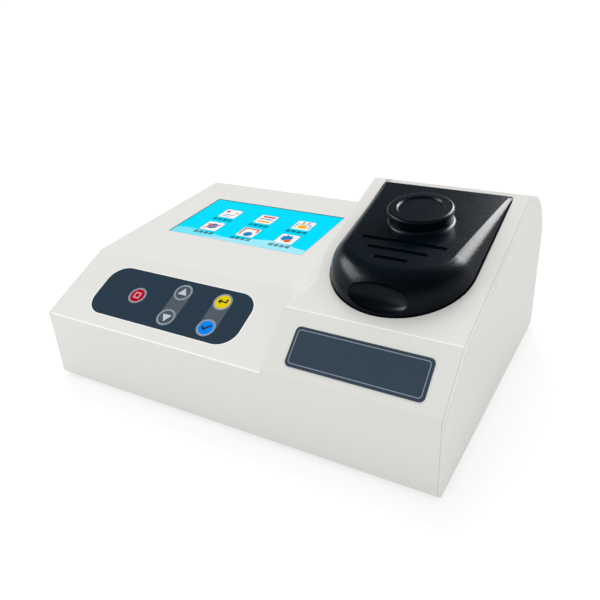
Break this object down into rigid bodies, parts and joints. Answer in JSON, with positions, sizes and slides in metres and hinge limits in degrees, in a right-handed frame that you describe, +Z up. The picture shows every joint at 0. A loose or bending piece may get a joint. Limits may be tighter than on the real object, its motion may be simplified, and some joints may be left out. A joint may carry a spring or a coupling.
{
  "type": "fluoride analyzer",
  "caption": "Bench photometric fluoride analyzer: sloped console with keypad and touch display beside a raised block whose hinged lid covers a round sample well.",
  "frame": {"origin": "centre of the bounding box in plan, at the undersides of the feet", "axes": "+X to the right seen from the front, -Y towards the user, +Z up"},
  "size_m": [0.36, 0.2652, 0.1573],
  "materials": {
    "white_paint": "fine textured white paint",
    "base_steel": "bare zinc-plated sheet",
    "foot_rubber": "matt",
    "screw_steel": "plated",
    "display_glass": "glossy, lit from behind",
    "module_grey": "matt",
    "film_grey": "satin film",
    "key_red": "glossy",
    "key_grey": "satin",
    "key_yellow": "glossy",
    "key_blue": "glossy",
    "board_green": "solder-resist",
    "plate_slate": "printed, satin",
    "lid_black": "satin",
    "seal_foam": "foam",
    "holder_black": "black anodised",
    "pedestal_aluminium": "plain",
    "lens_glass": "clear",
    "lamp_glass": "clear",
    "filter_glass": "coloured",
    "standoff_brass": "plain",
    "component_black": "matt",
    "ribbon_grey": "matt",
    "switch_black": "matt",
    "socket_steel": "plain"
  },
  "bodies": {
    "housing": {"main_housing": "white_paint", "left_side_panel": "white_paint", "right_side_panel": "white_paint", "base_plate": "base_steel", "rubber_foot_1": "foot_rubber", "rubber_foot_2": "foot_rubber", "rubber_foot_3": "foot_rubber", "rubber_foot_4": "foot_rubber", "base_screws": "screw_steel", "display_glass": "display_glass", "lcd_module": "module_grey", "display_frame": "base_steel", "display_screws": "screw_steel", "keypad_film": "film_grey", "keypad_board": "board_green", "dome_switches": "screw_steel", "keypad_screws": "screw_steel", "nameplate": "plate_slate", "light_seal": "seal_foam", "hinge_pin_left": "screw_steel", "hinge_pin_right": "screw_steel", "cell_holder": "holder_black", "holder_pedestal": "pedestal_aluminium", "lens": "lens_glass", "lamp": "lamp_glass", "colour_filter": "filter_glass", "light_sensor": "lid_black", "lamp_board": "board_green", "sensor_board": "board_green", "pedestal_screws": "screw_steel", "board_standoffs": "standoff_brass", "main_board": "board_green", "board_components": "component_black", "board_screws": "screw_steel", "display_ribbon": "ribbon_grey", "keypad_ribbon": "ribbon_grey", "switch_housing": "switch_black", "power_inlet": "switch_black", "data_socket": "socket_steel"},
    "lid": {"lid": "lid_black"},
    "rocker": {"switch_rocker": "switch_black"},
    "key_red": {"key_red": "key_red"},
    "key_up": {"key_up": "key_grey"},
    "key_down": {"key_down": "key_grey"},
    "key_yellow": {"key_yellow": "key_yellow"},
    "key_blue": {"key_blue": "key_blue"}
  },
  "joints": [
    {"name": "lid_hinge", "type": "hinge", "parent": "housing", "child": "lid", "pos_m": [0.109, 0.06532, 0.14355], "axis": [-1, 0, 0], "range_deg": [0, 100]},
    {"name": "key_red_press", "type": "slide", "parent": "housing", "child": "key_red", "axis": [0, 0.3847, -0.923], "range_m": [0, 0.0005], "stiffness_N_per_m": 800},
    {"name": "key_up_press", "type": "slide", "parent": "housing", "child": "key_up", "axis": [0, 0.3847, -0.923], "range_m": [0, 0.0005], "stiffness_N_per_m": 800},
    {"name": "key_down_press", "type": "slide", "parent": "housing", "child": "key_down", "axis": [0, 0.3847, -0.923], "range_m": [0, 0.0005], "stiffness_N_per_m": 800},
    {"name": "key_yellow_press", "type": "slide", "parent": "housing", "child": "key_yellow", "axis": [0, 0.3847, -0.923], "range_m": [0, 0.0005], "stiffness_N_per_m": 800},
    {"name": "key_blue_press", "type": "slide", "parent": "housing", "child": "key_blue", "axis": [0, 0.3847, -0.923], "range_m": [0, 0.0005], "stiffness_N_per_m": 800},
    {"name": "power_rocker", "type": "hinge", "parent": "housing", "child": "rocker", "pos_m": [-0.12, 0.12734, 0.042], "axis": [-1, 0, 0], "range_deg": [0, 20]}
  ]
}
